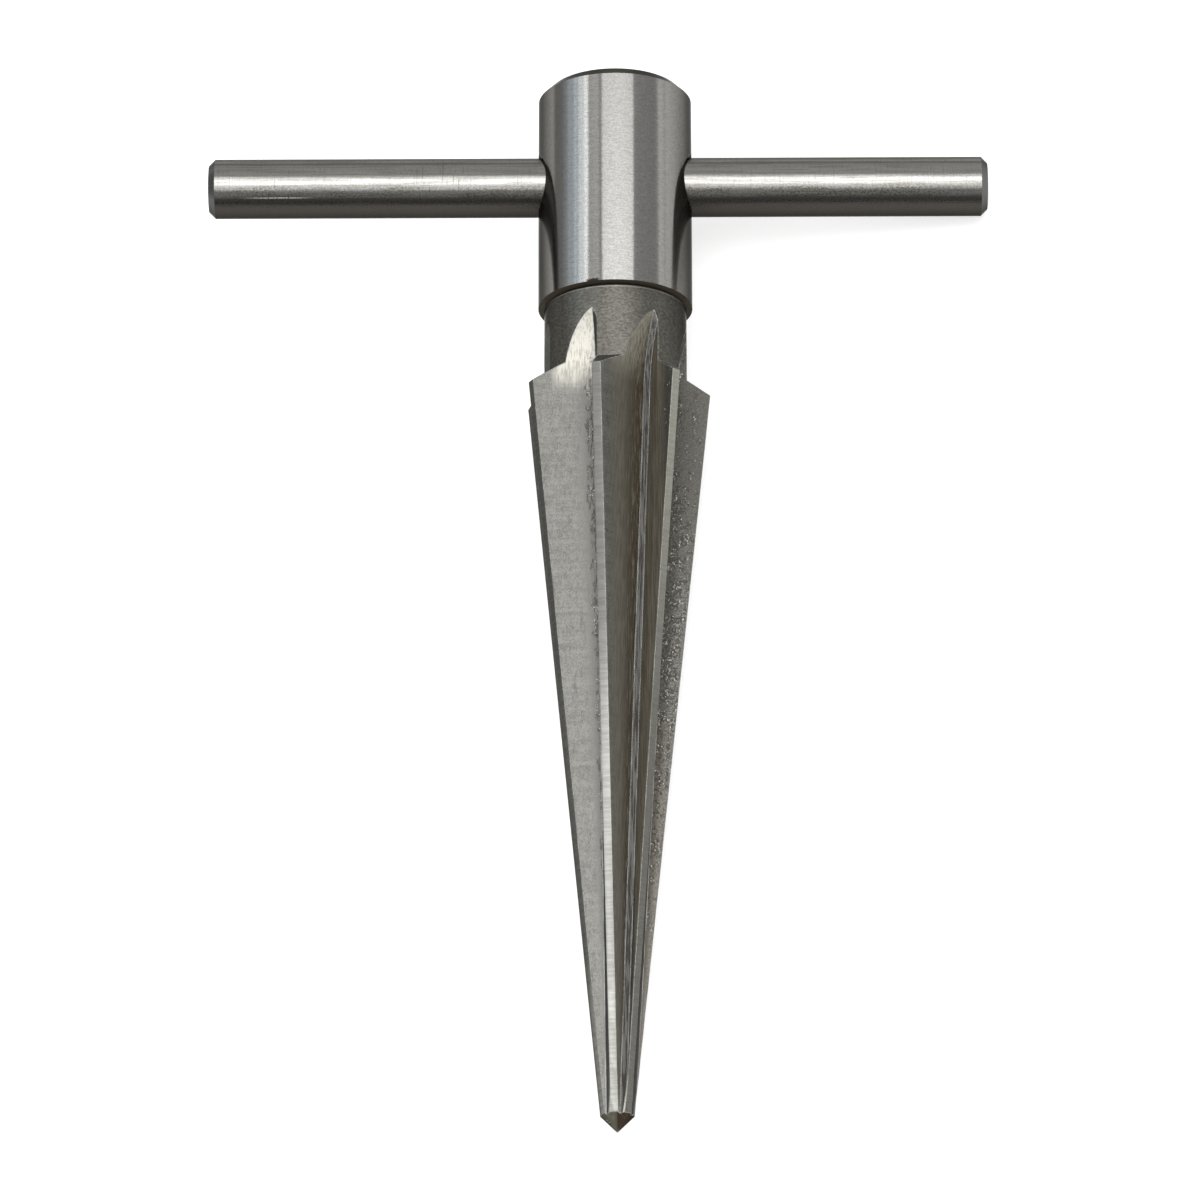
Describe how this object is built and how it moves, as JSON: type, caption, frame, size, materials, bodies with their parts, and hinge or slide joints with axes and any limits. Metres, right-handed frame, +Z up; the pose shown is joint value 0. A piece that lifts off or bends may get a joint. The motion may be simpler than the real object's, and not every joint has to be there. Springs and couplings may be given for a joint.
{
  "type": "taper reamer",
  "caption": "Hand reamer with a fluted tapered body, a conical point and a plain round crossbar through its cylindrical head.",
  "frame": {"origin": "middle of the tool's footprint, on the surface that it lies on", "axes": "+Y along the tool from the point to the head, +X along the crossbar towards its shorter side, which touches the surface, +Z up"},
  "size_m": [0.0906, 0.1274, 0.0248],
  "materials": {
    "reamer_steel": "milled and hardened, matt, with pale ground lands",
    "head_steel": "bright, ground round",
    "bar_steel": "drawn bright bar with fine lengthwise streaks and specks of tarnish"
  },
  "bodies": {
    "root": {"reamer": "reamer_steel", "head_collar": "head_steel", "crossbar": "bar_steel"}
  },
  "joints": []
}
